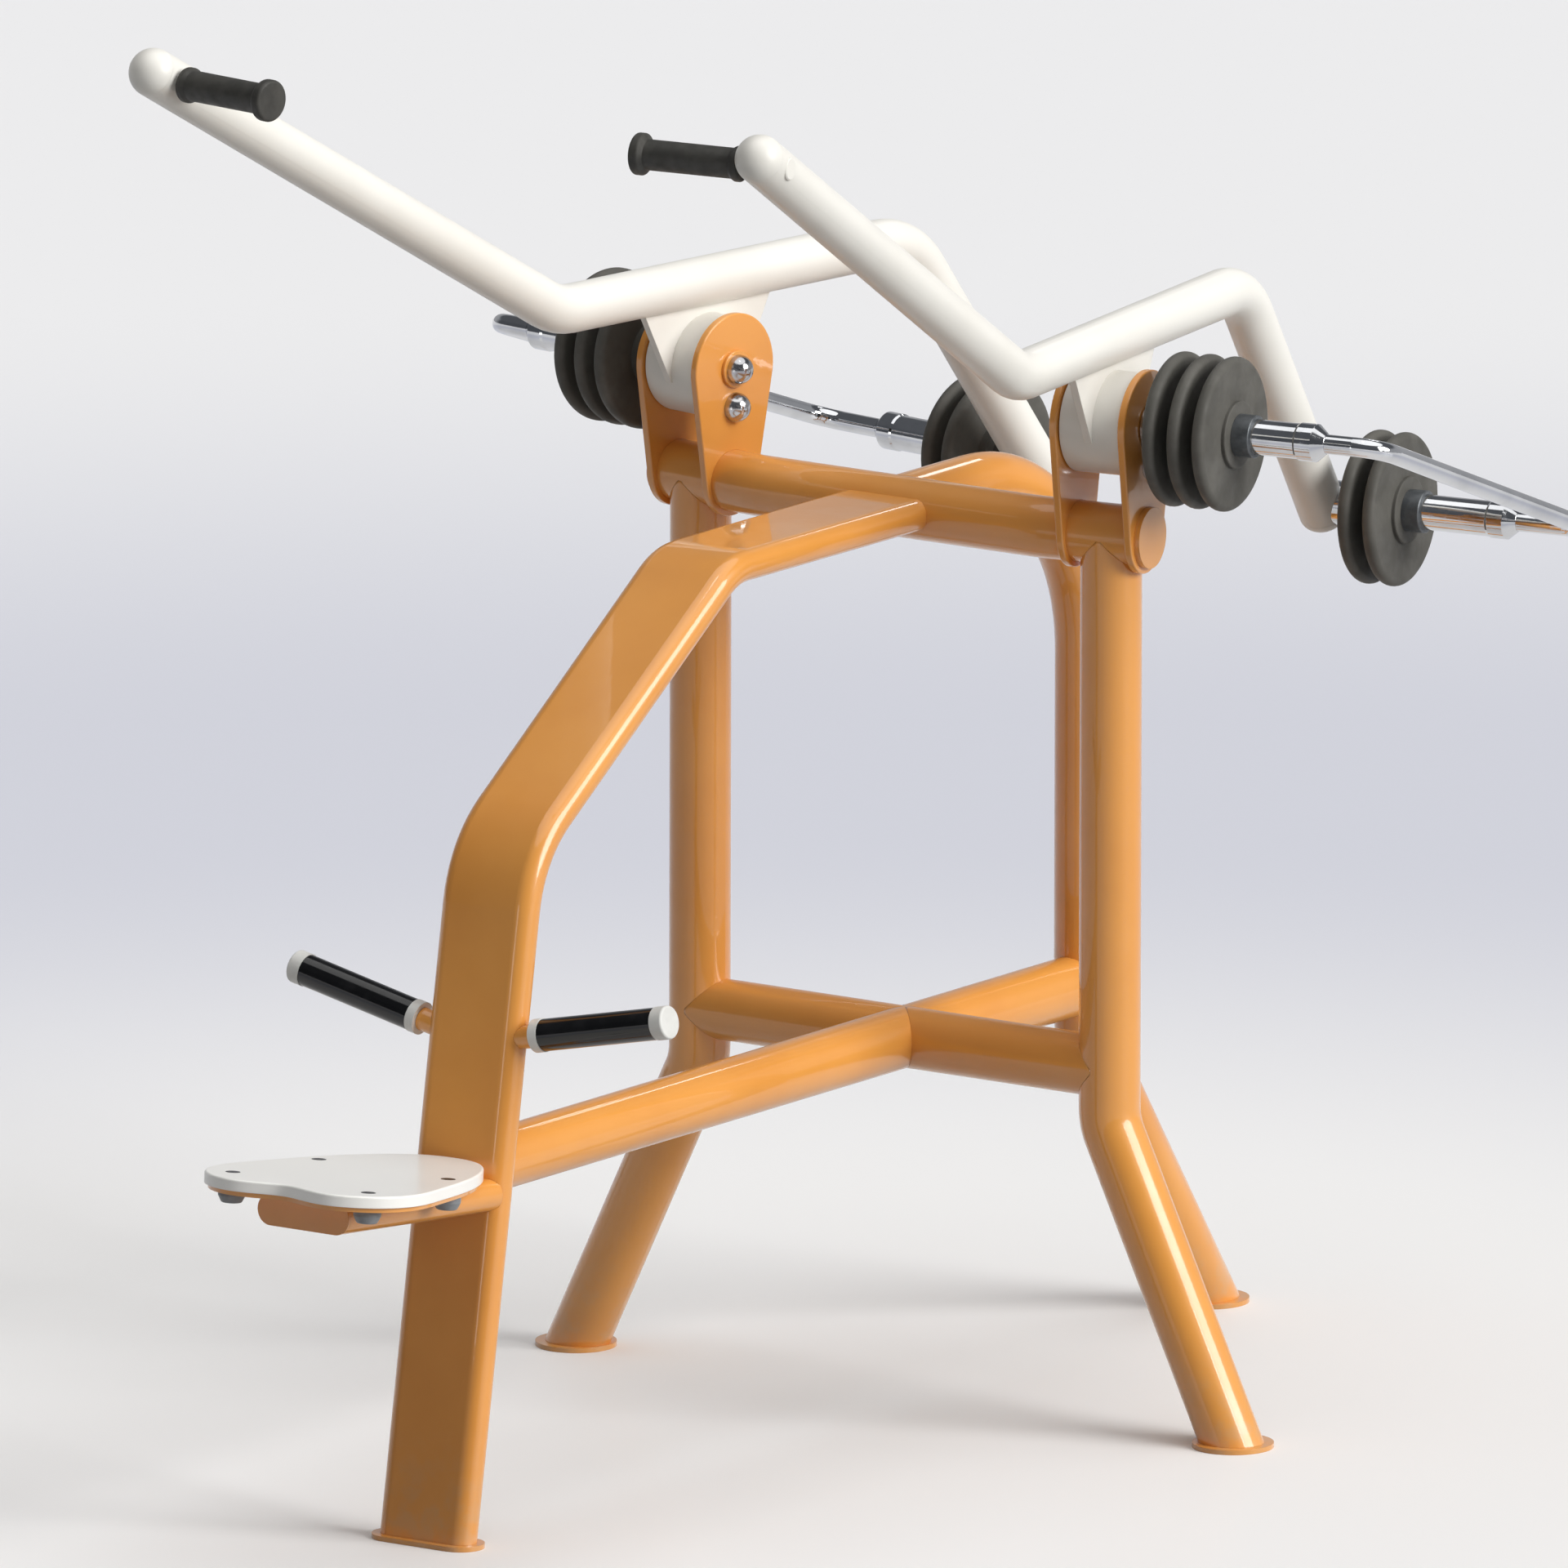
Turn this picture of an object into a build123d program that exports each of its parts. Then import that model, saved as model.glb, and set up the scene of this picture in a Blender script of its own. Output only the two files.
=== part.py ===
from build123d import *
import os
from math import acos, atan2, cos, hypot, radians, sin, tan

# Outdoor lat pulldown machine, in millimetres, +Z up.
# The user sits at the front (-Y), facing the machine, and pulls the two handles down.
# The origin is on the ground, at the middle of the width and of the depth.
# Everything that comes in a left and right pair is made on the right (+X) and mirrored.
os.makedirs("parts", exist_ok=True)

# Cuts and hidden roots run this far past what they have to clear
overrun = 20.0

# Fits
running_fit = 0.05
slip_fit = 0.3
side_play = 1.5

# Round frame tube
tube_radius = 38.0
tube_wall = 3.5
cope_tip = 3.0
leg_bend_radius = 80.0

# Side posts, which splay outwards below the braces
post_spread = 307.6
side_bend_height = 385.0
side_foot_spread = 493.5

# Cross tube on top of the posts, its ends turned rearwards to lie along the pivots
cross_y = 295.0
cross_height = 1121.5
cross_turn_inset = 97.9
cross_overhang = 55.6
cross_bend_radius = 200.0
cross_cap_thickness = 5.0

# Rear post, one tube bent down from the cross tube
rear_reach = 403.0
rear_top_bend_radius = 250.0
rear_bend_height = 388.0
rear_foot_reach = 675.0

# Braces
brace_height = 452.0

# Round feet
round_foot_rim = 12.5
foot_thickness = 6.0

# Front arch, a flat-oval tube
oval_width = 136.0
oval_depth = 39.6
oval_wall = 3.5
arch_foot_reach = 996.0
arch_knee_reach = 852.7
arch_knee_height = 837.3
arch_knee_radius = 160.0
arch_shoulder_reach = 431.8
arch_shoulder_radius = 100.0
front_foot_rim = 10.0

# Seat
seat_slope = 4.86
seat_ahead = 23.4
seat_rear_height = 470.0
seat_length = 378.0
seat_half_width = 148.0
seat_thickness = 14.5
seat_edge_radius = 2.5
seat_outline_shares = [(0.30, 0.035), (0.54, 0.145), (0.78, 0.36), (0.94, 0.61), (1.0, 0.78),
                       (0.92, 0.89), (0.74, 0.965), (0.47, 1.0), (0.20, 0.975)]
seat_dip_share = 0.955
seat_plate_thickness = 6.0
seat_plate_inset = 4.0
seat_arm_setback = 60.0
seat_arm_cap_thickness = 4.0

# Seat screws and their nut caps
screw_front_inset = 51.0
screw_front_side_inset = 47.0
screw_rear_inset = 152.5
screw_rear_side_inset = 51.5
screw_radius = 4.0
screw_head_radius = 9.2
screw_head_height = 5.0
nut_cap_radius = 17.0
nut_cap_tip_radius = 12.5
nut_cap_height = 17.0
nut_cap_straight = 8.0
nut_cap_edge = 3.0
nut_cap_bore_depth = 10.0

# Thigh rollers
roller_root_height = 606.2
roller_rise = 11.9
roller_stand_off = 19.0
roller_axle_root = 43.5
roller_stub_radius = 14.5
roller_axle_radius = 10.0
roller_radius = 20.0
roller_bore_radius = 15.5
roller_sleeve_length = 168.0
roller_collar_radius = 20.8
roller_collar_length = 12.5
roller_cap_length = 18.0
roller_cap_edge = 3.0
roller_spigot_length = 20.0
roller_cap_floor = 3.5
roller_cap_end_wall = 4.0
roller_end_play = 0.5
roller_bolt_flange_radius = 15.0
roller_bolt_flange = 3.0
roller_bolt_head_radius = 8.0
roller_bolt_head = 5.0

# Pivots of the two arms
toe_out = 8.71
pivot_inset = 3.2
pivot_behind = 3.1
pivot_rise = 139.3

# Ears, the upright plates that carry a pivot
ear_thickness = 10.0
ear_gap = 83.0
ear_top_radius = 69.0
ear_foot_rim = 7.0
ear_edge_radius = 2.0

# Pivot axle, its boss and the dome nuts
axle_radius = 15.0
axle_stub = 86.5
axle_bevel = 1.5
boss_radius = 23.5
boss_thickness = 4.5
boss_edge = 1.5
thread_radius = 8.0
thread_length = 12.0
dome_radius = 18.5
dome_rim = 2.0

# Stop bolt under each pivot and the travel that it allows
stop_inset = 16.0
straight_down = -90.0
arm_travel = 45.0

# Hub of an arm
hub_radius = 64.0
hub_wall = 6.0
hub_edge = 1.0
hub_disc_thickness = 12.0
bearing_radius = 27.5

# Arm tube, measured from its pivot
arm_radius = 30.5
arm_wall = 3.0
arm_lift = 9.3
arm_front_bend = 263.0
arm_rear_bend = 355.7
arm_bend_radius = 95.0
handle_reach = 971.0
handle_rise = 505.2
tail_fall = 53.68
tail_length = 404.0
tail_cap_length = 18.0
tail_cap_edge = 16.0

# Gusset between arm and hub
gusset_thickness = 10.0
gusset_half_width = 110.0
gusset_tip_drop = 15.0

# Handle grips
grip_setback = 27.0
grip_rod_radius = 14.0
grip_rod_proud = 0.5
grip_radius = 19.0
grip_start = 34.0
grip_end = 179.0
grip_end_wall = 8.0
grip_near_flange_radius = 22.0
grip_near_flange = 8.0
grip_near_edge = 3.0
grip_far_flange_radius = 26.0
grip_far_flange = 12.0
grip_far_edge = 4.0
grip_waist = 5.0

# Weight plates
plate_radius = 95.5
plate_thickness = 17.0
plate_rim_radius = 8.0
plate_pitch = 34.0
plate_boss_radius = 42.0
plate_boss_proud = 5.3
plate_boss_edge = 1.5
pivot_plate_count = 3
rear_plate_count = 2

# Chrome sleeves that carry the plates
sleeve_radius = 22.0
shoulder_radius = 28.0
collar_radius = 23.5
collar_bevel = 3.0
pivot_shoulder = 20.5
pivot_spare_length = 81.5
rear_shoulder = 20.8
rear_spare_length = 111.7
collar_length = 24.0
cone_length = 14.0
bush_radius = 18.0
ring_radius = 26.5
ring_length = 23.2
ring_edge = 1.0

# Bent chrome rod from the pivot sleeve to the rear sleeve
rod_radius = 12.0
rod_run = 72.0
rod_elbow_radius = 36.0
rod_root = 16.0

# Axis of the rear sleeve, from the lower end of the arm tube
rear_axis_up = 8.3
rear_axis_behind = 7.0


def straight_bar(start, end, radius):
    """A solid round bar between two points."""
    run = Vector(*end) - Vector(*start)
    with BuildPart() as bar:
        with BuildSketch(Plane(origin=start, z_dir=run)):
            Circle(radius)
        extrude(amount=run.length)
    return bar.part


def bent_bar(plane, points, bends, radius):
    """A solid round bar along a line of points in a plane, bent at its corners."""
    with BuildPart() as bar:
        with BuildLine(plane) as run:
            FilletPolyline(*points, radius=bends)
        with BuildSketch(Plane(origin=run.line @ 0, z_dir=run.line % 0)):
            Circle(radius)
        sweep(path=run.line)
    return bar.part


def turned(plane, outline):
    """A solid turned about the plane's x axis, from (place along it, radius) points."""
    with BuildPart() as piece:
        with BuildSketch(plane):
            with BuildLine():
                Polyline(*outline, close=True)
            make_face()
        revolve(axis=Axis(plane.origin, plane.x_dir))
    return piece.part


def write(piece, name):
    """Label a finished piece and write its STEP file."""
    piece.part.label = name
    export_step(piece.part, f"parts/{name}.step")


def write_pair(piece, name):
    """Write a right-hand piece and its mirror image."""
    write(piece, f"right_{name}")
    with BuildPart() as twin:
        mirror(piece.part, about=Plane.YZ)
    write(twin, f"left_{name}")


# Frame tubes as solid bars, which the others are coped around
foot_top = Plane.XY.offset(foot_thickness)
turn = radians(toe_out)
outward = Vector(cos(turn), sin(turn), 0)
rearward = Vector(-sin(turn), cos(turn), 0)
cross_plane = Plane.XY.offset(cross_height)
cross_turn_reach = post_spread - cross_turn_inset
cross_reach = post_spread + cross_overhang
cross_far = cross_reach + overrun
cross_far_y = cross_y + (cross_far - cross_turn_reach) * tan(turn)
cross_route = [(-cross_far, cross_far_y), (-cross_turn_reach, cross_y),
               (cross_turn_reach, cross_y), (cross_far, cross_far_y)]
cross_core = bent_bar(cross_plane, cross_route, cross_bend_radius, tube_radius)
post_y = cross_y + cross_turn_inset * tan(turn)
post_plane = Plane(origin=(0, post_y, 0), x_dir=(1, 0, 0), z_dir=(0, -1, 0))
side_splay = (side_foot_spread - post_spread) / side_bend_height
post_route = [(post_spread, cross_height - cope_tip), (post_spread, side_bend_height),
              (side_foot_spread + side_splay * overrun, -overrun)]
post_core = bent_bar(post_plane, post_route, leg_bend_radius, tube_radius)
rear_y = cross_y + rear_reach
rear_splay = (rear_foot_reach - rear_reach) / rear_bend_height
rear_route = [(cross_y + cope_tip, cross_height), (rear_y, cross_height), (rear_y, rear_bend_height),
              (cross_y + rear_foot_reach + rear_splay * overrun, -overrun)]
rear_bends = [rear_top_bend_radius, leg_bend_radius]
rear_core = bent_bar(Plane.YZ, rear_route, rear_bends, tube_radius)

# Front arch route, from under its foot plate up to the cross tube
arch_lean = (arch_foot_reach - arch_knee_reach) / arch_knee_height
arch_foot_y = cross_y - arch_foot_reach
arch_route = [(arch_foot_y - arch_lean * overrun, -overrun),
              (cross_y - arch_knee_reach, arch_knee_height),
              (cross_y - arch_shoulder_reach, cross_height), (cross_y, cross_height)]


def oval_arch(inset):
    """The arch as a solid flat-oval bar, drawn in all round by the inset."""
    with BuildPart() as bar:
        with BuildLine(Plane.YZ) as run:
            FilletPolyline(*arch_route, radius=[arch_knee_radius, arch_shoulder_radius])
        with BuildSketch(Plane(origin=run.line @ 0, x_dir=(1, 0, 0), z_dir=run.line % 0)):
            SlotOverall(oval_width - 2 * inset, oval_depth - 2 * inset)
        sweep(path=run.line)
    return bar.part


arch_core = oval_arch(0)

with BuildPart() as front_arch:
    add(arch_core)
    add(oval_arch(oval_wall), mode=Mode.SUBTRACT)
    add(cross_core, mode=Mode.SUBTRACT)
    split(bisect_by=foot_top, keep=Keep.TOP)
write(front_arch, "front_arch")

# Foot plate of the arch, a flat-oval plate with a rim all round the tube
with BuildPart() as front_foot:
    with BuildSketch(Plane(origin=(0, arch_foot_y, 0))):
        SlotOverall(oval_width + 2 * front_foot_rim, oval_depth + 2 * front_foot_rim)
    extrude(amount=foot_thickness)
write(front_foot, "front_foot")

# Cross tube, its ends turned parallel to the arm pivots, and its two end caps
cross_end = Vector(cross_reach, cross_y + (cross_reach - cross_turn_reach) * tan(turn), cross_height)
cap_seat = Plane(origin=cross_end - outward * cross_cap_thickness, z_dir=outward)
cap_face = Plane(origin=cross_end, z_dir=outward)
with BuildPart() as cross_tube:
    add(cross_core)
    add(bent_bar(cross_plane, cross_route, cross_bend_radius, tube_radius - tube_wall), mode=Mode.SUBTRACT)
    split(bisect_by=cap_seat, keep=Keep.BOTTOM)
    split(bisect_by=Plane.YZ, keep=Keep.TOP)
    mirror(about=Plane.YZ)
write(cross_tube, "cross_tube")

with BuildPart() as cross_tube_caps:
    add(cross_core)
    split(bisect_by=cap_seat, keep=Keep.TOP)
    split(bisect_by=cap_face, keep=Keep.BOTTOM)
    mirror(about=Plane.YZ)
write(cross_tube_caps, "cross_tube_caps")

# Side posts
with BuildPart() as side_post:
    add(post_core)
    add(bent_bar(post_plane, post_route, leg_bend_radius, tube_radius - tube_wall), mode=Mode.SUBTRACT)
    add(cross_core, mode=Mode.SUBTRACT)
    split(bisect_by=foot_top, keep=Keep.TOP)
write_pair(side_post, "post")

# Rear post
with BuildPart() as rear_post:
    add(rear_core)
    add(bent_bar(Plane.YZ, rear_route, rear_bends, tube_radius - tube_wall), mode=Mode.SUBTRACT)
    add(cross_core, mode=Mode.SUBTRACT)
    split(bisect_by=foot_top, keep=Keep.TOP)
write(rear_post, "rear_post")

# Round feet under the two side posts and the rear post
with BuildPart() as round_feet:
    with BuildSketch():
        with Locations((-side_foot_spread, post_y), (side_foot_spread, post_y),
                       (0, cross_y + rear_foot_reach)):
            Circle(tube_radius + round_foot_rim)
    extrude(amount=foot_thickness)
write(round_feet, "round_feet")

# Long brace from the arch to the rear post, and the two side braces that meet it
brace_front = (0, arch_foot_y + arch_lean * brace_height, brace_height)
brace_rear = (0, rear_y - cope_tip, brace_height)
long_core = straight_bar(brace_front, brace_rear, tube_radius)
with BuildPart() as long_brace:
    add(long_core)
    add(straight_bar(brace_front, brace_rear, tube_radius - tube_wall), mode=Mode.SUBTRACT)
    add(arch_core, mode=Mode.SUBTRACT)
    add(rear_core, mode=Mode.SUBTRACT)
write(long_brace, "long_brace")

side_brace_ends = ((cope_tip, post_y, brace_height), (post_spread - cope_tip, post_y, brace_height))
with BuildPart() as side_braces:
    add(straight_bar(*side_brace_ends, tube_radius))
    add(straight_bar(*side_brace_ends, tube_radius - tube_wall), mode=Mode.SUBTRACT)
    add(long_core, mode=Mode.SUBTRACT)
    add(post_core, mode=Mode.SUBTRACT)
    mirror(about=Plane.YZ)
write(side_braces, "side_braces")

# Seat: local x to the side, y to the rear and z up out of its tilted top face
slope = radians(seat_slope)
seat_rear_y = arch_foot_y + arch_lean * seat_rear_height - seat_ahead
seat_top = Plane(origin=(0, seat_rear_y, seat_rear_height), x_dir=(1, 0, 0),
                 z_dir=(0, sin(slope), cos(slope)))


def seat_slab(under, thickness, inset):
    """A slab of the seat's outline, drawn in by the inset, under the seat's top face."""
    half_width = seat_half_width - inset
    length = seat_length - 2 * inset
    right = [(x * half_width, -y * length - inset) for x, y in seat_outline_shares]
    left = [(-x, y) for x, y in reversed(right)]
    with BuildPart() as slab:
        with BuildSketch(seat_top.offset(-under)):
            with BuildLine():
                Spline((0, -inset), *right, (0, -seat_dip_share * length - inset), *left, periodic=True)
            make_face()
        extrude(amount=-thickness)
    return slab.part


screw_spots = [(side * (seat_half_width - inset), -forward) for side in (-1, 1)
               for inset, forward in ((screw_front_side_inset, seat_length - screw_front_inset),
                                      (screw_rear_side_inset, screw_rear_inset))]
under_seat = seat_thickness + seat_plate_thickness
screw_reach = under_seat + nut_cap_bore_depth

with BuildPart() as seat:
    add(seat_slab(0, seat_thickness, 0))
    fillet(edges().group_by(Axis(seat_top.origin, seat_top.z_dir))[-1], seat_edge_radius)
    with BuildSketch(seat_top):
        with Locations(*screw_spots):
            Circle(screw_radius + slip_fit)
    extrude(amount=-seat_thickness, mode=Mode.SUBTRACT)
    for x, y in screw_spots:
        spot = seat_top.from_local_coords((x, y, 0))
        add(turned(Plane(origin=spot, x_dir=-seat_top.z_dir, z_dir=seat_top.x_dir),
                   [(-overrun, 0), (-overrun, screw_head_radius + slip_fit), (0, screw_head_radius + slip_fit),
                    (screw_head_height, screw_radius + slip_fit), (screw_head_height, 0)]),
            mode=Mode.SUBTRACT)
write(seat, "seat")

with BuildPart() as seat_plate:
    add(seat_slab(seat_thickness, seat_plate_thickness, seat_plate_inset))
    with BuildSketch(seat_top):
        with Locations(*screw_spots):
            Circle(screw_radius + slip_fit)
    extrude(amount=-under_seat, mode=Mode.SUBTRACT)
write(seat_plate, "seat_plate")

# Countersunk screws through seat and plate, and a nut cap under each
with BuildPart() as seat_screws:
    for x, y in screw_spots:
        spot = seat_top.from_local_coords((x, y, 0))
        add(turned(Plane(origin=spot, x_dir=-seat_top.z_dir, z_dir=seat_top.x_dir),
                   [(0, 0), (0, screw_head_radius), (screw_head_height, screw_radius),
                    (screw_reach, screw_radius), (screw_reach, 0)]))
write(seat_screws, "seat_screws")

with BuildPart() as seat_nut_caps:
    for x, y in screw_spots:
        spot = seat_top.from_local_coords((x, y, -under_seat))
        cap = turned(Plane(origin=spot, x_dir=-seat_top.z_dir, z_dir=seat_top.x_dir),
                     [(0, screw_radius), (0, nut_cap_radius), (nut_cap_straight, nut_cap_radius),
                      (nut_cap_height, nut_cap_tip_radius), (nut_cap_height, 0),
                      (nut_cap_bore_depth, 0), (nut_cap_bore_depth, screw_radius)])
        add(cap.fillet(nut_cap_edge, cap.edges().group_by(Axis(spot, -seat_top.z_dir))[-1]))
write(seat_nut_caps, "seat_nut_caps")

# Seat arm, a flat-oval tube under the seat plate, welded to the arch and closed in front
arm_drop = under_seat + oval_depth / 2
seat_arm_length = seat_length - seat_arm_setback
seat_arm_front = Plane(origin=seat_top.from_local_coords((0, -seat_arm_length, -arm_drop)),
                       x_dir=(1, 0, 0), z_dir=seat_top.y_dir)
with BuildPart() as seat_arm:
    with BuildSketch(seat_arm_front.offset(seat_arm_cap_thickness)):
        SlotOverall(oval_width, oval_depth)
        SlotOverall(oval_width - 2 * oval_wall, oval_depth - 2 * oval_wall, mode=Mode.SUBTRACT)
    extrude(amount=seat_arm_length + cope_tip)
    add(arch_core, mode=Mode.SUBTRACT)
write(seat_arm, "seat_arm")

with BuildPart() as seat_arm_cap:
    with BuildSketch(seat_arm_front):
        SlotOverall(oval_width, oval_depth)
    extrude(amount=seat_arm_cap_thickness)
write(seat_arm_cap, "seat_arm_cap")

# Thigh rollers: each turns on an axle welded to the side of the arch's leg
lean = atan2(arch_foot_reach - arch_knee_reach, arch_knee_height)
rise = radians(roller_rise)
roller_way = Vector(cos(rise), sin(rise) * sin(lean), sin(rise) * cos(lean))
roller_side = Vector(0, cos(lean), -sin(lean))
roller_root = Vector(0, arch_foot_y + arch_lean * roller_root_height, roller_root_height)
roller_start = oval_width / 2 + roller_stand_off
roller_plane = Plane(origin=roller_root + roller_way * roller_start, x_dir=roller_way, z_dir=roller_side)
sleeve_from = roller_collar_length
sleeve_to = sleeve_from + roller_sleeve_length
cap_to = sleeve_to + roller_cap_length
pocket_from = sleeve_to + roller_cap_floor
axle_to = pocket_from + roller_end_play
bush_bore = roller_axle_radius + running_fit
spigot_radius = roller_bore_radius

roller_axle = turned(roller_plane, [
    (roller_axle_root - roller_start, 0), (roller_axle_root - roller_start, roller_stub_radius),
    (-roller_end_play, roller_stub_radius), (-roller_end_play, roller_axle_radius),
    (axle_to, roller_axle_radius), (axle_to, 0)])
with BuildPart() as roller_axles:
    add(roller_axle)
    add(arch_core, mode=Mode.SUBTRACT)
    mirror(about=Plane.YZ)
write(roller_axles, "roller_axles")

with BuildPart() as roller_end_bolts:
    add(turned(roller_plane, [
        (axle_to, 0), (axle_to, roller_bolt_flange_radius),
        (axle_to + roller_bolt_flange, roller_bolt_flange_radius),
        (axle_to + roller_bolt_flange, roller_bolt_head_radius),
        (axle_to + roller_bolt_flange + roller_bolt_head, roller_bolt_head_radius),
        (axle_to + roller_bolt_flange + roller_bolt_head, 0)]))
    mirror(about=Plane.YZ)
write(roller_end_bolts, "roller_end_bolts")

with BuildPart() as roller_collar:
    add(turned(roller_plane, [
        (0, bush_bore), (0, roller_collar_radius), (sleeve_from, roller_collar_radius),
        (sleeve_from, spigot_radius), (sleeve_from + roller_spigot_length, spigot_radius),
        (sleeve_from + roller_spigot_length, bush_bore)]))
write_pair(roller_collar, "roller_collar")

with BuildPart() as roller_sleeve:
    add(turned(roller_plane, [
        (sleeve_from, roller_bore_radius), (sleeve_from, roller_radius),
        (sleeve_to, roller_radius), (sleeve_to, roller_bore_radius)]))
write_pair(roller_sleeve, "roller_sleeve")

pocket_radius = roller_bolt_flange_radius + side_play
with BuildPart() as roller_cap:
    cap = turned(roller_plane, [
        (sleeve_to - roller_spigot_length, bush_bore), (sleeve_to - roller_spigot_length, spigot_radius),
        (sleeve_to, spigot_radius), (sleeve_to, roller_collar_radius), (cap_to, roller_collar_radius),
        (cap_to, 0), (cap_to - roller_cap_end_wall, 0),
        (cap_to - roller_cap_end_wall, pocket_radius), (pocket_from, pocket_radius),
        (pocket_from, bush_bore)])
    add(cap.fillet(roller_cap_edge, cap.edges().group_by(Axis(roller_root, roller_way))[-1]))
write_pair(roller_cap, "roller_cap")

# Right-hand pivot: local x to the rear, y up and z outwards along the axle
pivot = Vector(post_spread - pivot_inset, post_y + pivot_behind, cross_height + pivot_rise)
pivot_plane = Plane(origin=pivot, x_dir=rearward, z_dir=outward)
lathe = Plane(origin=pivot, x_dir=outward, z_dir=rearward)
ear_foot_shift = -pivot_inset * sin(turn) - pivot_behind * cos(turn)
stop_drop = hub_radius - stop_inset


def ear(inner_face):
    """A right-hand ear from its face at this place along the axle outwards."""
    with BuildPart() as plate:
        with BuildSketch(pivot_plane.offset(inner_face)):
            Circle(ear_top_radius)
            with Locations((ear_foot_shift, -pivot_rise)):
                Circle(tube_radius + ear_foot_rim)
            make_hull()
        extrude(amount=ear_thickness)
        fillet(edges().filter_by(Axis(pivot, outward), reverse=True), ear_edge_radius)
        with BuildSketch(pivot_plane.offset(inner_face)):
            Circle(axle_radius)
            with Locations((0, -stop_drop)):
                Circle(thread_radius)
        extrude(amount=ear_thickness, mode=Mode.SUBTRACT)
        add(cross_core, mode=Mode.SUBTRACT)
    return plate.part


ear_inner_face = ear_gap / 2
ear_outer_face = ear_inner_face + ear_thickness
with BuildPart() as outer_ears:
    add(ear(ear_inner_face))
    mirror(about=Plane.YZ)
write(outer_ears, "outer_ears")

with BuildPart() as inner_ears:
    add(ear(-ear_outer_face))
    mirror(about=Plane.YZ)
write(inner_ears, "inner_ears")

# Round bosses on the inner ears
boss_face = ear_outer_face + boss_thickness
with BuildPart() as pivot_bosses:
    boss = turned(lathe, [(-boss_face, thread_radius), (-boss_face, boss_radius),
                          (-ear_outer_face, boss_radius), (-ear_outer_face, thread_radius)])
    rims = boss.edges().filter_by(GeomType.CIRCLE).group_by(SortBy.RADIUS)[-1]
    add(boss.fillet(boss_edge, rims.group_by(Axis(pivot, outward))[0]))
    mirror(about=Plane.YZ)
write(pivot_bosses, "pivot_bosses")

# Fixed axles: threaded at the inner end, and run on past the outer ear as a stub
axle_outer_end = ear_outer_face + axle_stub
with BuildPart() as pivot_axles:
    add(turned(lathe, [
        (-boss_face - thread_length, 0), (-boss_face - thread_length, thread_radius),
        (-ear_outer_face, thread_radius), (-ear_outer_face, axle_radius),
        (axle_outer_end - axle_bevel, axle_radius), (axle_outer_end, axle_radius - axle_bevel),
        (axle_outer_end, 0)]))
    mirror(about=Plane.YZ)
write(pivot_axles, "pivot_axles")


def dome(plane, seat_at, facing, bore):
    """A dome with its flat face at a place along the plane's x axis, bored to a depth."""
    with BuildPart() as nut:
        with BuildSketch(plane):
            with BuildLine():
                rim = (seat_at + facing * dome_rim, dome_radius)
                tip = (seat_at + facing * (dome_rim + dome_radius), 0)
                Line((seat_at, 0), (seat_at, dome_radius))
                Line((seat_at, dome_radius), rim)
                RadiusArc(rim, tip, facing * dome_radius)
                Line(tip, (seat_at, 0))
            make_face()
        revolve(axis=Axis(plane.origin, plane.x_dir))
        if bore:
            with BuildSketch(Plane(origin=plane.from_local_coords((seat_at, 0, 0)), z_dir=plane.x_dir)):
                Circle(thread_radius)
            extrude(amount=facing * bore, mode=Mode.SUBTRACT)
    return nut.part


# Stop bolts below the pivots, each with a dome head on the inner ear
stop_lathe = Plane(origin=pivot - Vector(0, 0, stop_drop), x_dir=outward, z_dir=rearward)
with BuildPart() as stop_bolts:
    add(dome(stop_lathe, -ear_outer_face, -1, 0))
    add(turned(stop_lathe, [(-ear_outer_face, 0), (-ear_outer_face, thread_radius),
                            (ear_outer_face + thread_length, thread_radius),
                            (ear_outer_face + thread_length, 0)]))
    mirror(about=Plane.YZ)
write(stop_bolts, "stop_bolts")

# Dome nuts on the axles' inner ends and on the stop bolts' outer ends
with BuildPart() as dome_nuts:
    add(dome(lathe, -boss_face, -1, thread_length))
    add(dome(stop_lathe, ear_outer_face, 1, thread_length))
    mirror(about=Plane.YZ)
write(dome_nuts, "dome_nuts")

# Arm tube: handle run, level run over the hub and tail, all in one upright plane
arm_rise = hub_radius + arm_radius + arm_lift
tail_way = Vector(cos(radians(tail_fall)), -sin(radians(tail_fall)), 0)
tail_tip = Vector(arm_rear_bend, arm_rise, 0) + tail_way * tail_length
arm_route = [(-handle_reach, handle_rise), (-arm_front_bend, arm_rise), (arm_rear_bend, arm_rise),
             (tail_tip.X, tail_tip.Y)]
arm_core = bent_bar(pivot_plane, arm_route, arm_bend_radius, arm_radius)
handle_end = pivot_plane.from_local_coords(arm_route[0])
handle_way = (pivot_plane.from_local_coords(arm_route[1]) - handle_end).normalized()
tail_end = pivot_plane.from_local_coords(arm_route[3])
tail_out = (tail_end - pivot_plane.from_local_coords(arm_route[2])).normalized()
grip_middle = handle_end + handle_way * grip_setback
grip_lathe = Plane(origin=grip_middle, x_dir=-outward, z_dir=rearward)
grip_rod_start = -(arm_radius + grip_rod_proud)
grip_rod_end = grip_end - grip_end_wall

with BuildPart() as grip_rod:
    add(turned(grip_lathe, [(grip_rod_start, 0), (grip_rod_start, grip_rod_radius - boss_edge),
                            (grip_rod_start + boss_edge, grip_rod_radius),
                            (grip_rod_end, grip_rod_radius), (grip_rod_end, 0)]))
write_pair(grip_rod, "grip_rod")

with BuildPart() as arm_tube:
    add(arm_core)
    add(bent_bar(pivot_plane, arm_route, arm_bend_radius, arm_radius - arm_wall), mode=Mode.SUBTRACT)
    add(grip_rod.part, mode=Mode.SUBTRACT)
write_pair(arm_tube, "arm_tube")

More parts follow.
